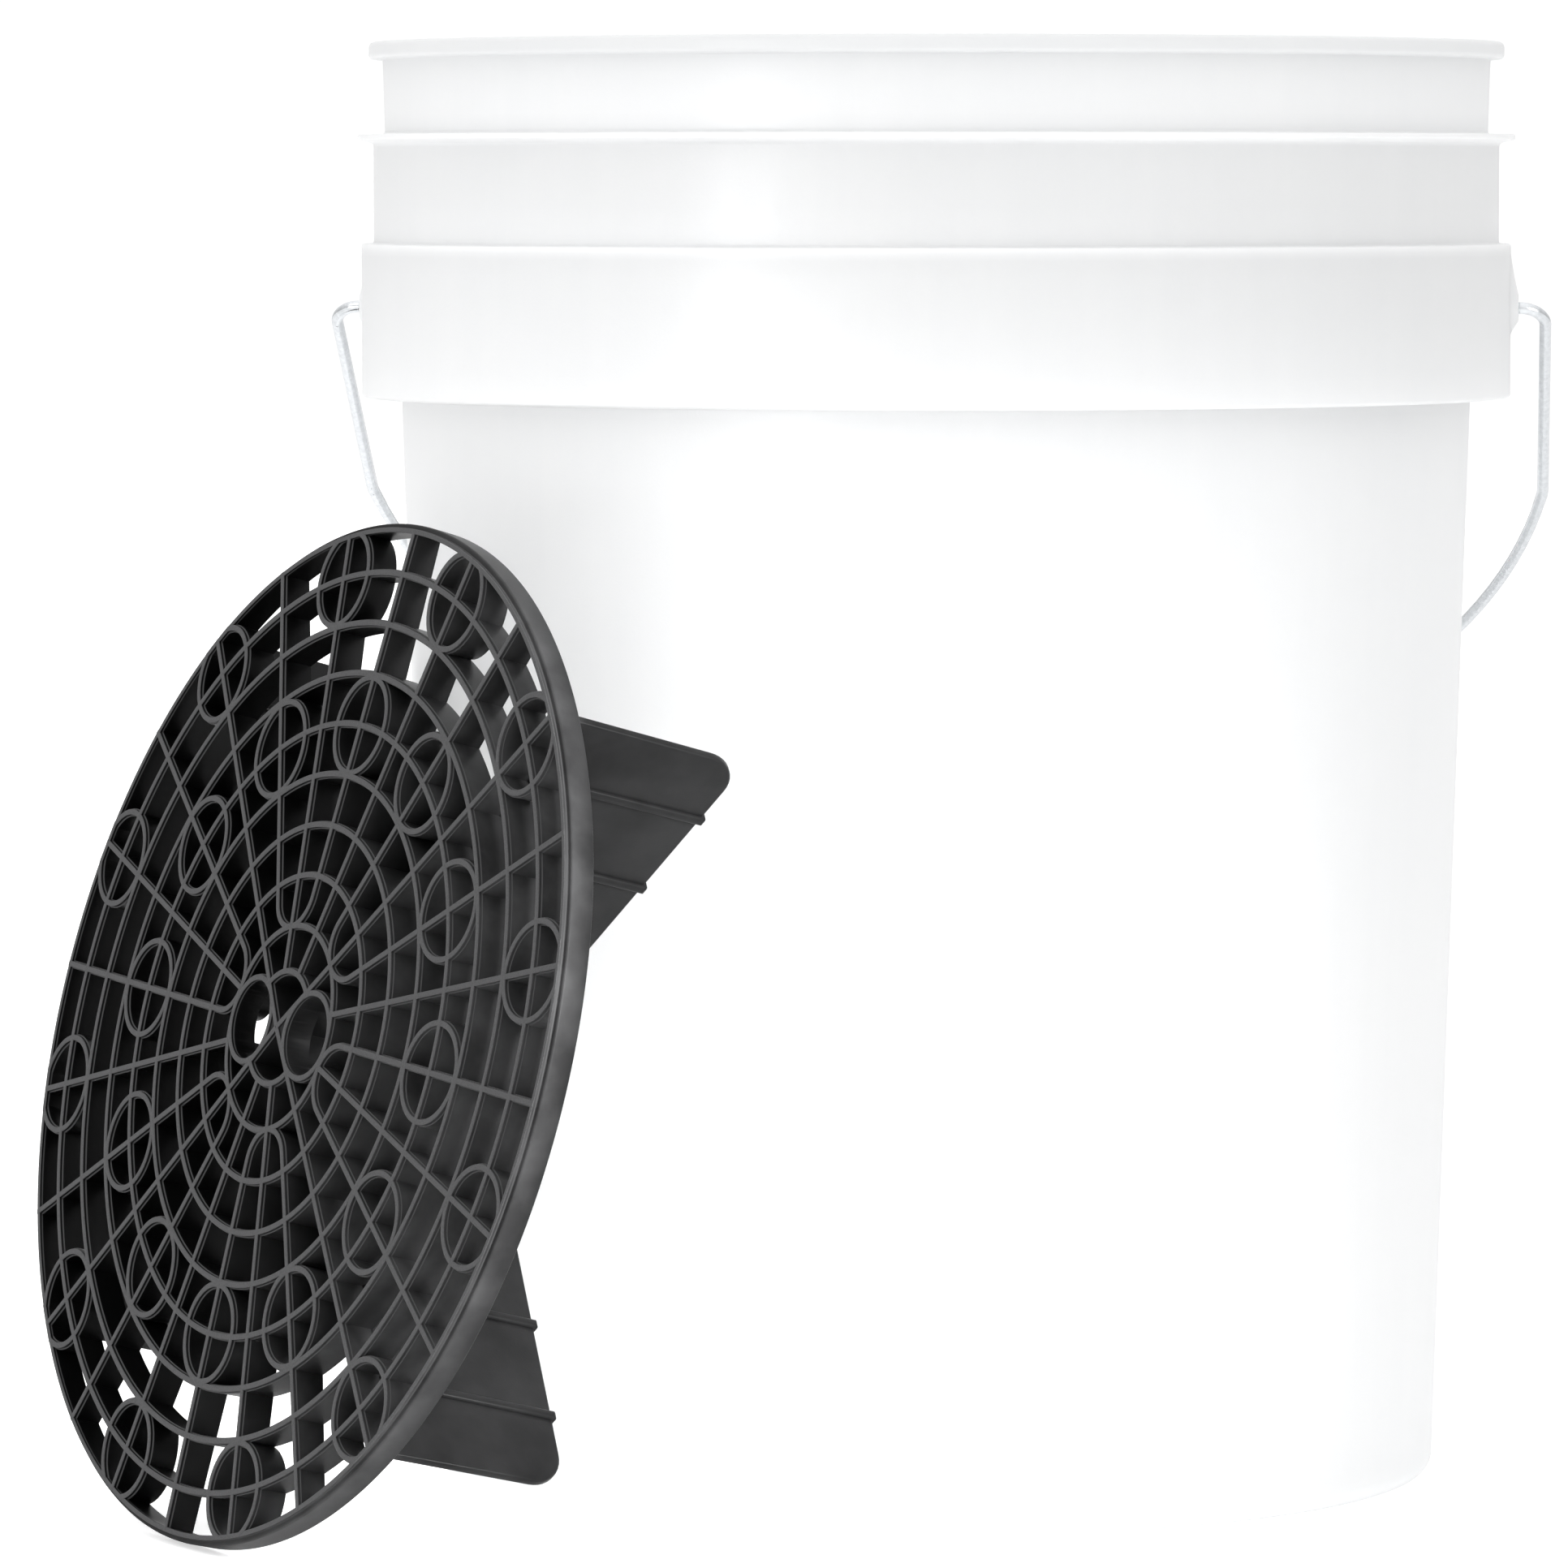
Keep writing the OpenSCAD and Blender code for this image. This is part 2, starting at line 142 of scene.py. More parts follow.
def add_world(seen, level, overhead, sides, dim_from=0.3):
    """A plain white surround, as bright as seen to the camera.

    It lights the object from level to overhead. Past dim_from it dims towards the left and right,
    down to the factor sides.
    """
    world = bpy.data.worlds.new("studio")
    world.use_nodes = True
    tree = world.node_tree
    tree.nodes.clear()
    place = tree.nodes.new("ShaderNodeTexCoord")
    height = tree.nodes.new("ShaderNodeSeparateXYZ")
    rise = tree.nodes.new("ShaderNodeMapRange")
    rise.inputs["From Min"].default_value = 0.0
    rise.inputs["To Min"].default_value = level
    rise.inputs["To Max"].default_value = overhead
    across = tree.nodes.new("ShaderNodeMath")
    across.operation = "ABSOLUTE"
    dim = tree.nodes.new("ShaderNodeMapRange")
    dim.inputs["From Min"].default_value = dim_from
    dim.inputs["To Min"].default_value = 1.0
    dim.inputs["To Max"].default_value = sides
    both = tree.nodes.new("ShaderNodeMath")
    both.operation = "MULTIPLY"
    plain = tree.nodes.new("ShaderNodeBackground")
    plain.inputs["Color"].default_value = (1, 1, 1, 1)
    plain.inputs["Strength"].default_value = seen
    soft = tree.nodes.new("ShaderNodeBackground")
    soft.inputs["Color"].default_value = (1, 1, 1, 1)
    path = tree.nodes.new("ShaderNodeLightPath")
    mix = tree.nodes.new("ShaderNodeMixShader")
    out = tree.nodes.new("ShaderNodeOutputWorld")
    tree.links.new(place.outputs["Generated"], height.inputs[0])
    tree.links.new(height.outputs["Z"], rise.inputs["Value"])
    tree.links.new(height.outputs["X"], across.inputs[0])
    tree.links.new(across.outputs[0], dim.inputs["Value"])
    tree.links.new(rise.outputs[0], both.inputs[0])
    tree.links.new(dim.outputs[0], both.inputs[1])
    tree.links.new(both.outputs[0], soft.inputs["Strength"])
    tree.links.new(path.outputs["Is Camera Ray"], mix.inputs[0])
    tree.links.new(soft.outputs[0], mix.inputs[1])
    tree.links.new(plain.outputs[0], mix.inputs[2])
    tree.links.new(mix.outputs[0], out.inputs["Surface"])
    bpy.context.scene.world = world


# ---------------------------------------------------------------- materials


class Surface:
    """A material being wired: its tree, its shader, and short ways to add nodes."""

    def __init__(self, name, **settings):
        self.material = bpy.data.materials.new(name)
        self.material.use_nodes = True
        self.nodes = self.material.node_tree.nodes
        self.links = self.material.node_tree.links
        self.shader = self.nodes["Principled BSDF"]
        for socket, value in settings.items():
            self.shader.inputs[socket.replace("_", " ")].default_value = value
        self.place = self.nodes.new("ShaderNodeTexCoord").outputs["Object"]

    def add(self, kind, *sources, **settings):
        """A node of one kind, with its first inputs fed by sources or set to their values."""
        node = self.nodes.new("ShaderNode" + kind)
        for key, value in settings.items():
            setattr(node, key, value)
        for socket, source in zip(node.inputs, sources):
            if isinstance(source, bpy.types.NodeSocket):
                self.links.new(source, socket)
            elif source is not None:
                socket.default_value = source
        return node

    def math(self, operation, *sources):
        return self.add("Math", *sources, operation=operation).outputs[0]

    def stretched(self, scale):
        """The place on the piece, scaled along each axis."""
        node = self.add("Mapping", self.place)
        node.inputs["Scale"].default_value = scale
        return node.outputs[0]

    def noise(self, scale, detail=3.0, place=None):
        """Noise with scale cells to the metre."""
        node = self.add("TexNoise", place or self.place)
        node.inputs["Scale"].default_value = scale
        node.inputs["Detail"].default_value = detail
        return node.outputs["Fac"]

    def ramp(self, factor, low, high, start, end):
        """A value that goes from start to end as factor goes from low to high."""
        node = self.add("MapRange", factor, low, high, start, end)
        return node.outputs[0]

    def colours(self, factor, first, second):
        """One colour turning into another as factor goes from 0 to 1."""
        node = self.add("ValToRGB", factor)
        node.color_ramp.elements[0].color = (*first, 1)
        node.color_ramp.elements[1].color = (*second, 1)
        return node.outputs["Color"]

    def feed(self, **sources):
        for socket, source in sources.items():
            self.links.new(source, self.shader.inputs[socket.replace("_", " ")])

    def bump(self, height, depth):
        """Relief depth metres deep from a height between 0 and 1."""
        node = self.add("Bump")
        node.inputs["Strength"].default_value = 1.0
        node.inputs["Distance"].default_value = depth
        self.links.new(height, node.inputs["Height"])
        self.links.new(node.outputs[0], self.shader.inputs["Normal"])


def natural_plastic():
    """Undyed polyethylene: milky, with soft flow clouds, faint upright streaks and a fine grain.

    Its colour carries painted light and shade by height: painted shade greyer up the wall, at the foot,
    under the collar and towards the rim, and painted highlights at the flanges' edges; whitest low down.
    """
    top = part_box("rim_bead")[1].z
    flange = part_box("band")[1].z
    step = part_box("collar")[1].z
    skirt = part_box("collar")[0].z
    s = Surface("natural_plastic", Subsurface_Weight=0.55, Subsurface_Scale=0.006, IOR=1.54)
    height = s.add("SeparateXYZ", s.place).outputs["Z"]
    # painted light and shade: the colour is darkened and lightened by height, where shade and highlights
    # fall on the wall and flanges
    painted_light_by_height = s.add("ValToRGB", s.ramp(height, 0, top, 0, 1))
    painted_light_stops = [
        # height, painted shade: painted shade at the foot and under the collar on the wall
        (0.004, 0.9), (0.02, 0.95), (0.06, 1.0),
        (skirt - 0.16, 1.0), (skirt - 0.06, 0.93), (skirt - 0.002, 0.9),
        # the collar: painted shade under its top step, a painted highlight at the step's edge
        (skirt, 0.95), (skirt + 0.008, 0.91),
        (step - 0.008, 0.9), (step - 0.0022, 0.87), (step - 0.0008, 1.0),
        # the band, the neck and the bead: painted highlights at the flange and the neck's foot, painted
        # shade up to the rim
        (step + 0.002, 0.98), (step + 0.01, 0.95), (flange - 0.0025, 0.93), (flange - 0.001, 1.0),
        (flange + 0.005, 1.0), (flange + 0.014, 0.9), (top - 0.004, 0.83),
    ]
    points = painted_light_by_height.color_ramp.elements
    for i, (z, shade) in enumerate(painted_light_stops):
        point = points[i] if i < len(points) else points.new(1.0)
        point.position = z / top
        point.color = (shade, shade, shade, 1)
    s.shader.inputs["Subsurface Radius"].default_value = (1.0, 1.0, 1.0)
    clouds = s.noise(14, 4)
    streaks = s.noise(1, 3, s.stretched((120, 120, 7)))
    grain = s.noise(1400, 2)
    tone = s.math("ADD", s.math("MULTIPLY", clouds, 0.6), s.math("MULTIPLY", streaks, 0.4))
    spread = s.ramp(tone, 0.3, 0.7, 0.0, 1.0)
    milk = s.colours(spread, (0.915, 0.925, 0.935), (0.945, 0.952, 0.957))
    s.feed(
        # the milky colour times the painted light and shade by height
        Base_Color=s.add("VectorMath", milk, painted_light_by_height.outputs["Color"], operation="MULTIPLY").outputs[0],
        Roughness=s.ramp(streaks, 0.3, 0.7, 0.3, 0.42),
    )
    s.bump(s.math("ADD", s.math("MULTIPLY", grain, 0.35), s.math("MULTIPLY", streaks, 0.65)), 0.00006)
    return s.material


def grip_plastic():
    """The grip's whiter polyethylene, with a matt grain and scuffed ridges."""
    s = Surface("grip_plastic", Subsurface_Weight=0.25, Subsurface_Scale=0.002, IOR=1.5)
    clouds = s.noise(60, 4)
    grain = s.noise(2600, 2)
    scuffs = s.noise(1, 5, s.stretched((300, 300, 1500)))
    s.feed(
        Base_Color=s.colours(clouds, (0.83, 0.83, 0.81), (0.9, 0.9, 0.885)),
        Roughness=s.ramp(scuffs, 0.35, 0.65, 0.38, 0.6),
    )
    s.bump(grain, 0.00004)
    return s.material


def zinc_wire():
    """Galvanised steel wire: bright, with drawing lines and dull flecks of zinc."""
    s = Surface("zinc_wire", Metallic=1.0)
    flecks = s.noise(900, 3)
    lines = s.noise(1, 2, s.stretched((2600, 2600, 60)))
    s.feed(
        Base_Color=s.colours(s.ramp(flecks, 0.35, 0.65, 0, 1), (0.66, 0.68, 0.7), (0.76, 0.78, 0.8)),
        Roughness=s.ramp(flecks, 0.3, 0.7, 0.2, 0.26),
    )
    s.bump(lines, 0.000004)
    return s.material


def black_plastic(place, radius, dome):
    """Black polypropylene: satin sides, rib tops scuffed to a matt grey, painted light towards one side,
    mottled and fading into the deep cells, and painted glints on the ribs' ledges.

    The guard's own frame gives the depth of every point below the domed top.
    """
    s = Surface("black_plastic", IOR=1.5)
    s.shader.inputs["Specular IOR Level"].default_value = 0.1
    own = s.add("Mapping", s.place, vector_type="TEXTURE")
    own.inputs["Location"].default_value = place.translation
    own.inputs["Rotation"].default_value = place.to_euler()
    s.place = own.outputs[0]
    spot = s.add("SeparateXYZ", s.place).outputs
    x, y, z = spot[0], spot[1], spot[2]
    r = s.math("SQRT", s.math("ADD", s.math("MULTIPLY", x, x), s.math("MULTIPLY", y, y)))
    top = s.math("MULTIPLY_ADD", r, -dome / radius, dome * MM)
    depth = s.math("SUBTRACT", top, z)
    scuffed = s.ramp(depth, 0.00012, 0.0003, 1.0, 0.0)
    grain = s.noise(2200, 3)
    clouds = s.noise(70, 4)
    wear = s.math("MULTIPLY", scuffed, s.ramp(grain, 0.25, 0.75, 0.75, 1.15))
    # painted light: the side towards +X is painted lighter and mottled, less so deep in the cells
    painted_lit_side = s.math("MULTIPLY", s.ramp(x, -0.02, 0.07, 0.0, 1.0), s.ramp(clouds, 0.35, 0.65, 0.3, 0.62))
    painted_lit_side = s.math("MULTIPLY", painted_lit_side, s.ramp(depth, 0.002, 0.0095, 1.0, 0.25))
    # painted highlight: a lighter band at the ledge's depth, a painted glint along each rib
    painted_ledge_glint = s.math("MULTIPLY", s.ramp(depth, 0.0006, 0.00075, 0, 1), s.ramp(depth, 0.00095, 0.0011, 1, 0))
    # the mix towards grey: real wear on the rib tops, with the painted light and the painted glints
    shade = s.math("MAXIMUM", s.math("MAXIMUM", wear, painted_lit_side), s.math("MULTIPLY", painted_ledge_glint, 0.75))
    s.feed(
        Base_Color=s.colours(shade, (0.0025, 0.0025, 0.0026), (0.1, 0.1, 0.102)),
        Roughness=s.math(
            "ADD", s.ramp(scuffed, 0, 1, 0.34, 0.62), s.ramp(clouds, 0.3, 0.7, -0.04, 0.05)
        ),
    )
    s.bump(s.math("MULTIPLY", grain, s.ramp(scuffed, 0, 1, 0.3, 1.0)), 0.00005)
    return s.material


def floor_white():
    """The studio's pale floor: lit from within like an acrylic table, and barely mottled."""
    s = Surface("floor_white", Roughness=0.9, Emission_Color=(1, 1, 1, 1), Emission_Strength=FLOOR_GLOW)
    s.shader.inputs["Specular IOR Level"].default_value = 0.0
    s.feed(Base_Color=s.colours(s.noise(2, 2), (0.94, 0.94, 0.94), (0.96, 0.96, 0.96)))
    return s.material


# ---------------------------------------------------------------- mesh tools


def rounded(corners, step=15):
    """Closed outline through corners (x, y, radius), each turned as an arc, a point every step degrees."""
    points = []
    for i, (x, y, r) in enumerate(corners):
        here = Vector((x, y))
        back = Vector(corners[i - 1][:2]) - here
        ahead = Vector(corners[(i + 1) % len(corners)][:2]) - here
        if r == 0:
            points.append(here)
            continue
        back.normalize()
        ahead.normalize()
        half = back.angle(ahead) / 2
        centre = here + (back + ahead).normalized() * (r / math.sin(half))
        spoke = here + back * (r / math.tan(half)) - centre
        sweep = math.pi - 2 * half
        turn = math.copysign(sweep, ahead.x * back.y - ahead.y * back.x)
        count = max(2, math.ceil(math.degrees(sweep) / step))
        for k in range(count + 1):
            points.append(centre + Matrix.Rotation(turn * k / count, 2) @ spoke)
    return points


def skin(rows, around=False, capped=False):
    """Mesh over rows of points. Each row is a closed loop; around joins the last row to the first."""
    mesh = bmesh.new()
    grid = [[mesh.verts.new(p) for p in row] for row in rows]
    count = len(rows)
    for i in range(count if around else count - 1):
        row, following = grid[i], grid[(i + 1) % count]
        for j in range(len(row)):
            k = (j + 1) % len(row)
            mesh.faces.new((row[j], row[k], following[k], following[j]))
    if capped:
        mesh.faces.new(grid[0])
        mesh.faces.new(grid[-1])
    bmesh.ops.remove_doubles(mesh, verts=mesh.verts, dist=1e-4)
    bmesh.ops.dissolve_degenerate(mesh, edges=mesh.edges, dist=1e-5)
    bmesh.ops.recalc_face_normals(mesh, faces=mesh.faces)
    return mesh


def lathe(outline, segments):
    """Mesh turned about Z from a closed outline of (radius, height) points."""
    turns = [2 * math.pi * i / segments for i in range(segments)]
    rows = [[Vector((p.x * math.cos(a), p.x * math.sin(a), p.y)) for p in outline] for a in turns]
    return skin(rows, around=True)


def plate(outline, thickness, edge):
    """Flat plate of a closed outline, centred on its own plane, with rounded edges."""
    mesh = bmesh.new()
    face = mesh.faces.new([mesh.verts.new((p.x, p.y, -thickness / 2)) for p in outline])
    pushed = bmesh.ops.extrude_face_region(mesh, geom=[face])["geom"]
    bmesh.ops.translate(
        mesh, vec=(0, 0, thickness), verts=[v for v in pushed if isinstance(v, bmesh.types.BMVert)]
    )
    bmesh.ops.recalc_face_normals(mesh, faces=mesh.faces)
    flat = [e for e in mesh.edges if abs(e.verts[0].co.z - e.verts[1].co.z) < 1e-6]
    bmesh.ops.bevel(mesh, geom=flat, offset=edge, segments=3, profile=0.5, affect="EDGES")
    return mesh


def solid(name, mesh, place=Matrix.Identity(4)):
    """An object whose mesh, made in millimetres, stands in the frame that place gives in metres."""
    bmesh.ops.transform(mesh, matrix=place @ Matrix.Scale(MM, 4), verts=mesh.verts)
    data = bpy.data.meshes.new(name)
    mesh.to_mesh(data)
    mesh.free()
    piece = bpy.data.objects.new(name, data)
    bpy.context.scene.collection.objects.link(piece)
    return piece


def combine(piece, others, operation):
    """Joins or cuts one piece with others, in one exact step, and removes them."""
    tools = bpy.data.collections.new("tools")
    for other in others:
        tools.objects.link(other)
    change = piece.modifiers.new("combine", "BOOLEAN")
    change.operation = operation
    change.solver = "MANIFOLD"
    change.operand_type = "COLLECTION"
    change.collection = tools
    bpy.context.view_layer.update()
    shown = piece.evaluated_get(bpy.context.evaluated_depsgraph_get())
    made = bpy.data.meshes.new_from_object(shown)
    piece.modifiers.clear()
    piece.data = made
    for other in others:
        bpy.data.objects.remove(other)
    bpy.data.collections.remove(tools)
    return piece


def union(name, meshes, place):
    """One solid from meshes that overlap."""
    parts = [solid(f"{name}.{i}", mesh, place) for i, mesh in enumerate(meshes)]
    piece = combine(parts[0], parts[1:], "UNION")
    piece.name = name
    return piece


def dress(piece, material, body, slot, *nodes, crease=32):
    """Gives a piece its material, shading and body, and hides the CAD nodes it stands for."""
    piece.data.materials.clear()
    piece.data.materials.append(material)
    piece.data.polygons.foreach_set("use_smooth", [True] * len(piece.data.polygons))
    piece.data.set_sharp_from_angle(angle=math.radians(crease))
    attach(piece, body)
    if nodes:
        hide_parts(*nodes)


# ---------------------------------------------------------------- pail

WALL = 2.2               # thickness of the wall
SKIRT = 1.8              # thickness of the band and the collar
FLOOR = 2.8              # thickness of the floor
FOOT_ROUND = 5.0         # rounding under the wall
FOOT_RING = 14.0         # width of the ring that the pail stands on
FOOT_RECESS = 0.8        # rise of the underside inside that ring
FLANGE = 1.4             # thickness of the upper flange at its edge
NECK_DRAFT = 0.6         # how much narrower the neck is at its foot
COLLAR_STEP = 3.2        # how far the collar stands out past the band
RECESS_EDGE = 1.5        # width of the slope between the foot's ring and the recess
PAIL_SEGMENTS = 384


def measure(node):
    """A turned node's outside radius, its foot and its top, in millimetres."""
    low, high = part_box(node)
    return high.x / MM, low.z / MM, high.z / MM


def pail_outline():
    """The pail's section from the middle of its underside, up the outside and down the inside."""
    rim_r, bead_z, top_z = measure("rim_bead")
    neck_r, _, _ = measure("pail_neck")
    wall_r, _, shelf_z = measure("pail_wall")
    flange_r, _, flange_z = measure("band")
    collar_r, collar_low, collar_z = measure("collar")
    low_r, _, low_h = measure("pail_floor")
    foot_r = low_r - (wall_r - low_r) * low_h / (shelf_z - low_h)
    ring_in = foot_r - FOOT_ROUND - FOOT_RING
    neck_low = neck_r - NECK_DRAFT
    band_r = collar_r - COLLAR_STEP
    band_in = band_r - SKIRT
    collar_in = collar_r - SKIRT
    return rounded([
        (0, FOOT_RECESS, 0),
        (ring_in, FOOT_RECESS, 1.5),
        (ring_in + RECESS_EDGE, 0, 0.8),
        (foot_r, 0, FOOT_ROUND),
        (wall_r, shelf_z, 1.0),
        (band_in, shelf_z, 0.5),
        (band_in, collar_z - SKIRT, 0.4),
        (collar_in, collar_z - SKIRT, 0.4),
        (collar_in, collar_low, 0.5),
        (collar_r, collar_low, 0.9),
        (collar_r, collar_z, 0.7),
        (band_r, collar_z, 0.8),
        (band_r, shelf_z - 0.6, 1.2),
        (flange_r, flange_z - FLANGE, 0.4),
        (flange_r, flange_z, 0.5),
        (neck_low, flange_z, 0.9),
        (neck_r, bead_z, 0.5),
        (rim_r, bead_z - 0.2, 1.2),
        (rim_r, top_z, 1.5),
        (neck_r - WALL, top_z, 1.2),
        (neck_low - WALL, flange_z + 0.4, 1.5),
        (wall_r - WALL, flange_z - SKIRT, 1.5),
        (low_r - WALL, FLOOR, 4.0),
        (0, FLOOR, 0),
    ])


def pail_shell(material):
    """The moulded pail: one turned wall with its rim, band and collar."""
    piece = solid("pail_shell", lathe(pail_outline(), PAIL_SEGMENTS))
    dress(
        piece, material, "pail", "natural_plastic",
        "pail_floor", "pail_wall", "pail_neck", "rim_bead", "band", "collar",
    )
    return piece


def joint(name):
    """A joint's place in millimetres and its axis, from the record."""
    found = next(j for j in frame["joints"] if j["name"] == name)
    return Vector(found.get("pos_m", (0, 0, 0))) / MM, Vector(found["axis"]).normalized()


EAR_FACE = 3.4           # radius of an ear's flat face
EAR_REACH = 7.5          # reach of an ear's slope below and beside the wire
EAR_RISE = 8.5           # how much further that slope reaches upwards
EAR_BORE = 1.62          # radius of the hole for the wire
EAR_LEAD = 0.3           # chamfer of that hole
EAR_ROOT = 0.6           # how far the ear runs past the inside of the collar
EAR_SINK = 0.15          # how far the slope's end lies under the collar's face
EAR_BULGE = 1.3          # how full the slope is; 1 is straight
EAR_ROUNDS = 96
EAR_SLOPE_POINTS = 9


def ear(name, side, material):
    """The boss that the bail turns in: a low slope from the collar's top down to the wire's hole."""
    collar_r = measure("collar")[0]
    low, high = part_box(name)
    centre, axis = joint("bail_swing")
    out = max(high.x, -low.x) / MM / axis.x
    root = out - collar_r + SKIRT + EAR_ROOT
    across = UP.cross(axis * side)
    rows = []
    for i in range(EAR_ROUNDS):
        a = 2 * math.pi * i / EAR_ROUNDS
        reach = EAR_REACH + EAR_RISE * max(0.0, math.sin(a)) ** 3
        profile = [(EAR_BORE, -root), (EAR_BORE, -EAR_LEAD), (EAR_BORE + EAR_LEAD, 0)]
        for t in np.linspace(0, 1, EAR_SLOPE_POINTS):
            r = EAR_FACE + (reach - EAR_FACE) * t
            ease = 1 - (1 - t) ** EAR_BULGE
            profile.append((r, -(out - collar_r + EAR_SINK) * ease))
        profile.append((reach, -root))
        row = []
        for r, depth in profile:
            y, z = r * math.cos(a), r * math.sin(a)
            curve = math.sqrt(collar_r**2 - y**2) - collar_r
            row.append(axis * side * (out + depth + curve) + across * y + UP * z + centre)
        rows.append(row)
    piece = solid(name + "_boss", skin(rows, around=True))
    dress(piece, material, "pail", "natural_plastic", name)


# ---------------------------------------------------------------- bail

GRIP_BORE = 2.15
GRIP_RIDGES = 9
GRIP_VALLEY = 1.2
GRIP_SEGMENTS = 96


def grip_outline(radius, length):
    """The grip's section: rounded ridges outside, a plain bore inside."""
    pitch = length / GRIP_RIDGES
    corners = [(GRIP_BORE, length / 2, 0.5), (GRIP_BORE, -length / 2, 0.5)]
    z = -length / 2
    corners.append((radius - GRIP_VALLEY, z, 0.6))
    for i in range(GRIP_RIDGES):
        low = z + (i + 0.25) * pitch
        high = z + (i + 0.75) * pitch
        corners += [
            (radius - GRIP_VALLEY, low - 0.5, 0.7),
            (radius, low + 0.3, 0.8),
            (radius, high - 0.3, 0.8),
            (radius - GRIP_VALLEY, high + 0.5, 0.7),
        ]
    corners.append((radius - GRIP_VALLEY, length / 2, 0.6))
    return rounded(corners)


def bail_grip(material):
    """The ribbed sleeve on the middle of the wire."""
    centre, axis = joint("grip_turn")
    lateral = UP.cross(axis).normalized()
    turn = Matrix((lateral, axis.cross(lateral), axis)).transposed()
    corners = (Vector(v.co) / MM - centre for v in frame["nodes"]["bail_grip"].data.vertices)
    spots = np.array([list(turn.transposed() @ corner) for corner in corners])
    radius = np.hypot(spots[:, 0], spots[:, 1]).max()
    length = np.ptp(spots[:, 2])
    place = Matrix.Translation(centre * MM) @ turn.to_4x4()
    piece = solid("grip_sleeve", lathe(grip_outline(radius, length), GRIP_SEGMENTS), place)
    dress(piece, material, "grip", "grip_plastic", "bail_grip")


# ---------------------------------------------------------------- guard

DOME = 4.0               # rise of the grid's centre above the rim
DEPTH = 7.6              # depth of the rim and of most ribs
FINGER_DEPTH = 3.7       # depth of the finger holes' walls, and of the hub's ring beside them
SIDE_ANGLE = 0.29        # half of the turn over which that ring is so shallow
CROSS_DEPTH = 11.0       # depth of the crossed ribs
LAND = 0.74              # half width of a rib's top
LEDGE = 0.3              # step outwards below that top
LEDGE_DROP = 0.8         # depth of that step
DRAFT = 0.25             # how much narrower a rib's foot is, each side
SPOKES = 24
GRID_TURN = -3.2         # degrees from the level diameter to the first spoke
HUB_RING = 2             # this ring closes the hub
LAST_RING = 9
EYE_RINGS = (6, 9)       # rings with an eye on every second spoke
WEB_R = 14.4             # radius of the hub's short arcs
WEB_SPOKES = (5, 7, 17, 19)
STEP = 2 * math.pi / SPOKES
HOOK_FIRST = 3           # the first spoke that ends in a U; every fourth one does
FIN_PLATE = 2.4
FIN_HEIGHT = 56.0
FIN_OVERRUN = 0.8        # how far the stiffening ribs run past a fin's foot
FIN_LAP = 0.6            # how far a fin runs into the grid
FIN_FIRST = 45           # degrees from the finger holes to the first fin
FIN_RIBS = (80, 108)     # radii of the stiffening ribs
FIN_RIB_HALF = 1.3       # half width of one
FIN_RIB_RISE = 2         # how much thicker than the fin one is
RIM_WALL = 2.6
RIM_LIP = 1.3
RIM_STEP = 1.2
RIM_SEGMENTS = 320
LIMIT_SEGMENTS = 240
HOLE_SEGMENTS = 96


def guard_frame():
    """The guard's own frame, read from its rim: X level, Z out of the face, the rim's top at z = 0."""
    spots = np.array([list(v.co) for v in frame["nodes"]["guard_rim"].data.vertices])
    middle = spots.mean(0)
    face = Vector(np.linalg.svd(spots - middle, full_matrices=False)[2][2])
    if face.dot(joint("guard_away")[1]) < 0:
        face.negate()
    level = UP.cross(face).normalized()
    turn = Matrix((level, face.cross(level), face)).transposed()
    local = (spots - middle) @ np.array(turn)
    low, high = local.min(0), local.max(0)
    offset = Vector(((low[0] + high[0]) / 2, (low[1] + high[1]) / 2, high[2]))
    place = Matrix.Translation(Vector(middle) + turn @ offset) @ turn.to_4x4()
    return place, (high[0] - low[0]) / 2 / MM


guard_place, GUARD_R = guard_frame()
RING_GAP = GUARD_R / 10
HUB_LINE = HUB_RING * RING_GAP
FINGER_R = HUB_LINE * math.sin(math.pi / 4) / (1 + math.sin(math.pi / 4))
FINGER_X = HUB_LINE - FINGER_R
HOOK_R = HUB_LINE * math.sin(STEP) / (1 - math.sin(STEP))
HOOK_AT = HUB_LINE + HOOK_R
EYE_R = RING_GAP - LAND
GRID_R = GUARD_R - RIM_WALL


def polar(r, a):
    return Vector((r * math.cos(a), r * math.sin(a), 0))


def dome_z(spot):
    """Height of the grid's top over a point of the guard's plane."""
    return DOME * (1 - math.hypot(spot.x, spot.y) / GUARD_R)


def rib_section():
    """A rib's section as (side, height, 1 where the height is from the top or 0 from the foot)."""
    half = [
        (DRAFT, 0, 0),
        (LAND + LEDGE - DRAFT, 0, 0),
        (LAND + LEDGE, -LEDGE_DROP - 0.12, 1),
        (LAND + LEDGE - 0.08, -LEDGE_DROP - 0.02, 1),
        (LAND + 0.03, -LEDGE_DROP, 1),
        (LAND, -0.16, 1),
        (LAND - 0.05, -0.05, 1),
        (LAND - 0.16, 0, 1),
    ]
    mirrored = [(-side, height, anchor) for side, height, anchor in reversed(half)]
    return half[1:] + mirrored[:-1]


def rib(path, sides, depth, around=False):
    """A rib along points of the guard's plane, with the direction of its side at each."""
    rows = []
    section = rib_section()
    for spot, side in zip(path, sides):
        top = dome_z(spot)
        rows.append([
            spot + side * across + UP * (top + height if from_top else height - depth)
            for across, height, from_top in section
        ])
    return skin(rows, around=around, capped=not around)


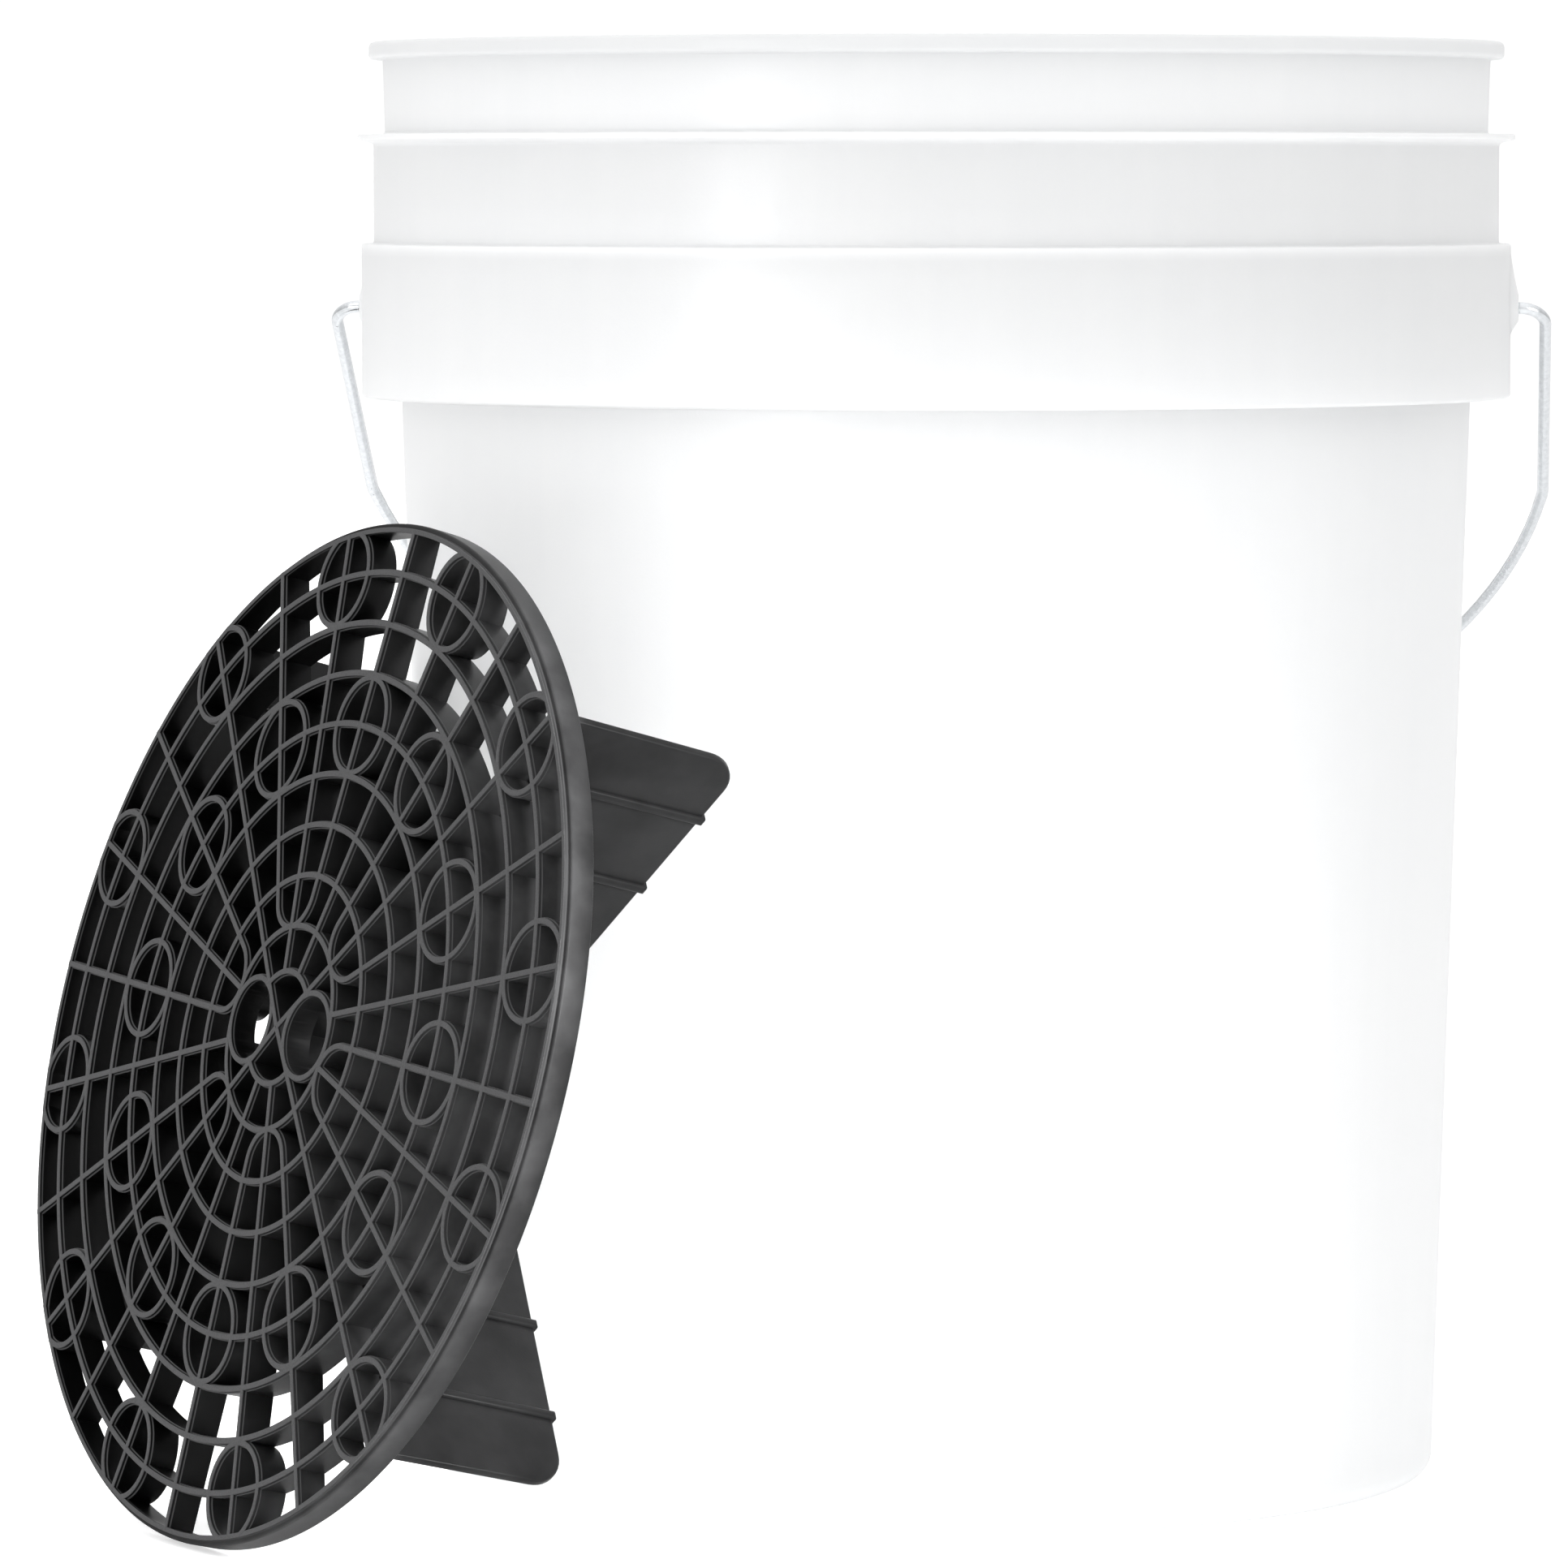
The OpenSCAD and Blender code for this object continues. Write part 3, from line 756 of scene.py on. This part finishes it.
def ring(centre, r, depth=DEPTH, first=0.0, last=2 * math.pi):
    """A rib round a point, or along an arc about it."""
    closed = last - first > 2 * math.pi - 1e-6
    count = max(24, round(r * 2.2 * (last - first) / (2 * math.pi) + 24))
    angles = [first + (last - first) * i / count for i in range(count + (not closed))]
    sides = [polar(1, a) for a in angles]
    return rib([centre + side * r for side in sides], sides, depth, around=closed)


def spoke(a, inner, outer, depth=DEPTH):
    """A straight rib along a radius."""
    side = polar(1, a + math.pi / 2)
    return rib([polar(inner, a), polar(outer, a)], [side, side], depth)


def grid_meshes():
    """Rings, spokes, round eyes and the U-shaped ends round the hub."""
    centre = Vector((0, 0, 0))
    lap = RIM_WALL / 2
    made = [ring(centre, k * RING_GAP) for k in range(HUB_RING + 1, LAST_RING + 1)]
    for i in range(0, SPOKES, 2):
        even, odd = i * STEP, (i + 1) * STEP
        made.append(spoke(odd, HUB_LINE, GRID_R + lap))
        made.append(spoke(even, HOOK_AT * math.cos(STEP), GRID_R + lap))
        made.append(ring(polar(EYE_RINGS[1] * RING_GAP, odd), EYE_R))
        made.append(ring(polar(EYE_RINGS[0] * RING_GAP, even), EYE_R))
    for i in range(HOOK_FIRST, SPOKES, 4):
        a = i * STEP
        reach = math.pi / 2 + STEP
        made.append(ring(polar(HOOK_AT, a), HOOK_R, DEPTH, a + reach, a + 2 * math.pi - reach))
    return made


def hub_corner(a):
    """The filled corner between a finger hole and the crossed ribs."""
    reach = FINGER_X / 2
    start = math.pi - math.pi / 4
    arc = [
        Vector((FINGER_X, 0, 0)) + polar(FINGER_R, start + (math.pi / 2) * k / 12) for k in range(13)
    ]
    outline = [Vector((0, 0, 0)), Vector((reach, reach, 0))] + arc[1:-1] + [Vector((reach, -reach, 0))]
    spin = Matrix.Rotation(a, 3, "Z")
    rows = [
        [spin @ p + UP * (dome_z(p) - 0.35) for p in outline],
        [spin @ p - UP * FINGER_DEPTH for p in outline],
    ]
    return skin(rows, capped=True)


def hub_meshes():
    """The hub's closing ring, crossed ribs, finger walls, short arcs and filled corners."""
    centre = Vector((0, 0, 0))
    made = [ring(centre, HUB_LINE, FINGER_DEPTH), ring(centre, WEB_R)]
    for a in (0, math.pi):
        made.append(ring(centre, HUB_LINE, DEPTH, a + SIDE_ANGLE, a + math.pi - SIDE_ANGLE))
        made.append(ring(polar(FINGER_X, a), FINGER_R, FINGER_DEPTH))
        made.append(hub_corner(a))
    for a in range(45, 360, 90):
        made.append(spoke(math.radians(a), 0.2, HUB_LINE, CROSS_DEPTH))
    for i in WEB_SPOKES:
        made.append(spoke(i * STEP, WEB_R, HUB_LINE))
    return made


def finger_hole(a):
    """The space inside a finger hole's wall."""
    spot = polar(FINGER_X, a)
    circle = [spot + polar(FINGER_R - LAND, 2 * math.pi * k / HOLE_SEGMENTS) for k in range(HOLE_SEGMENTS)]
    rows = [[point + UP * z for point in circle] for z in (-2 * CROSS_DEPTH, 2 * DOME)]
    return skin(rows, capped=True)


def grid_limit():
    """The round space that the grid fills, out to the rim's lip."""
    reach = GRID_R + RIM_LIP - 0.1
    rows = [
        [polar(reach, 2 * math.pi * k / LIMIT_SEGMENTS) + UP * z for k in range(LIMIT_SEGMENTS)]
        for z in (-2 * CROSS_DEPTH, 2 * DOME)
    ]
    return skin(rows, capped=True)


def rim_outline():
    """The rim's section: a raised inner lip, a step, and a drafted outer band."""
    return rounded([
        (GRID_R, 0, 0.2),
        (GRID_R + RIM_LIP, 0, 0.25),
        (GRID_R + RIM_LIP, -RIM_STEP, 0.2),
        (GUARD_R, -RIM_STEP, 0.5),
        (GUARD_R - 0.15, -DEPTH, 0.3),
        (GRID_R + 0.1, -DEPTH, 0.3),
    ])


def fin_outline(height):
    """A fin's outline in its own plane: radius along X, height along Y."""
    hub_edge = HUB_LINE + LAND
    return rounded([
        (hub_edge, -DEPTH + FIN_LAP, 0),
        (GUARD_R - 0.3, -DEPTH + FIN_LAP, 0),
        (GUARD_R - 1.3, -height, 10),
        (2 * hub_edge - 2, -height, 3),
        (hub_edge, -CROSS_DEPTH - 4, 2),
    ], step=9)


def fin_meshes(height, out):
    """A fin with its two stiffening ribs, which run a little past its foot."""
    made = [plate(fin_outline(height), FIN_PLATE, 0.7)]
    for r in FIN_RIBS:
        bar = rounded([
            (r - FIN_RIB_HALF, -DEPTH + FIN_LAP, 0),
            (r + FIN_RIB_HALF, -DEPTH + FIN_LAP, 0),
            (r + FIN_RIB_HALF, -height - out, 0.5),
            (r - FIN_RIB_HALF, -height - out, 0.5),
        ])
        made.append(plate(bar, FIN_PLATE + FIN_RIB_RISE, 0.75))
    return made


def guard(material):
    """The grit guard: rim, grid, hub and four fins, all of one moulding."""
    place = guard_place @ Matrix.Rotation(math.radians(GRID_TURN), 4, "Z")
    rim = solid("rim_ring", lathe(rim_outline(), RIM_SEGMENTS), guard_place)
    dress(rim, material, "guard", "black_plastic", "guard_rim")
    grid = union("grid_web", grid_meshes(), place)
    combine(grid, [solid("limit", grid_limit(), place)], "INTERSECT")
    dress(grid, material, "guard", "black_plastic", "guard_grid")
    hub = union("hub_web", hub_meshes(), place)
    holes = [solid(f"hole.{i}", finger_hole(i * math.pi), place) for i in range(2)]
    combine(hub, holes, "DIFFERENCE")
    dress(hub, material, "guard", "black_plastic", "guard_hub")
    upright = Matrix.Rotation(math.pi / 2, 4, "X")
    for i in range(4):
        node = f"guard_fin_{i + 1}"
        turn = Matrix.Rotation(math.radians(FIN_FIRST + 90 * i), 4, "Z")
        fin = union(f"fin_{i + 1}", fin_meshes(FIN_HEIGHT, FIN_OVERRUN), place @ turn @ upright)
        dress(fin, material, "guard", "black_plastic", node)


# ---------------------------------------------------------------- scene


def bail_wire(material):
    """The steel wire keeps its CAD shape and gets its finish."""
    node = frame["nodes"]["bail_wire"]
    node.data.materials.clear()
    node.data.materials.append(material)


def floor(material):
    """A pale floor under the object."""
    half = FLOOR_SIZE / 2
    corners = [(-half, -half, 0), (half, -half, 0), (half, half, 0), (-half, half, 0)]
    data = bpy.data.meshes.new("floor")
    data.from_pydata(corners, [], [(0, 1, 2, 3)])
    piece = bpy.data.objects.new("floor", data)
    data.materials.append(material)
    bpy.context.scene.collection.objects.link(piece)
    piece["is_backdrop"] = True
    return piece


def all_but(*bodies):
    """A light-linking collection that leaves out everything that rides on some bodies."""
    linked = bpy.data.collections.new("_".join(("all_but",) + bodies))
    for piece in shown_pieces():
        if set(body_of(piece) or ()) & set(bodies):
            linked.objects.link(piece)
    for member in linked.collection_objects:
        member.light_linking.link_state = "EXCLUDE"
    return linked


def studio(ground):
    """Soft white light all round, with the pail and the guard each lit by a softbox of its own.

    The ground's glow only whitens the ground.
    """
    ground.light_linking.receiver_collection = all_but("pail", "bail", "grip", "guard")
    add_world(seen=1.05, level=0.82, overhead=1.3, sides=0.72)
    past_guard = all_but("guard")
    past_pail = all_but("pail")
    add_area("pail_low", (-0.8, -1.4, 0.12), (-0.05, -0.14, 0.02), (0.5, 0.15), 0.32, 28, past_guard)
    add_area("pail_behind", (-1.0, -1.3, 0.25), (-0.1, -0.14, 0.13), (0.3, 0.3), 0.13, 16, past_guard)
    add_area("guard_key", (-1.8, -1.6, 2.4), (-0.16, -0.13, 0.13), (1.4, 1.4), 7, 180, past_pail)
    add_area("guard_side", (0.9, -1.2, 0.5), (-0.08, -0.13, 0.13), (0.4, 0.4), 1.5, 30, past_pail)


def main():
    bpy.context.scene.view_settings.view_transform = "Standard"
    add_camera()
    ground = floor(floor_white())
    natural = natural_plastic()
    pail_shell(natural)
    ear("ear_right", 1, natural)
    ear("ear_left", -1, natural)
    bail_wire(zinc_wire())
    bail_grip(grip_plastic())
    guard(black_plastic(guard_place, GUARD_R, DOME))
    studio(ground)


main()
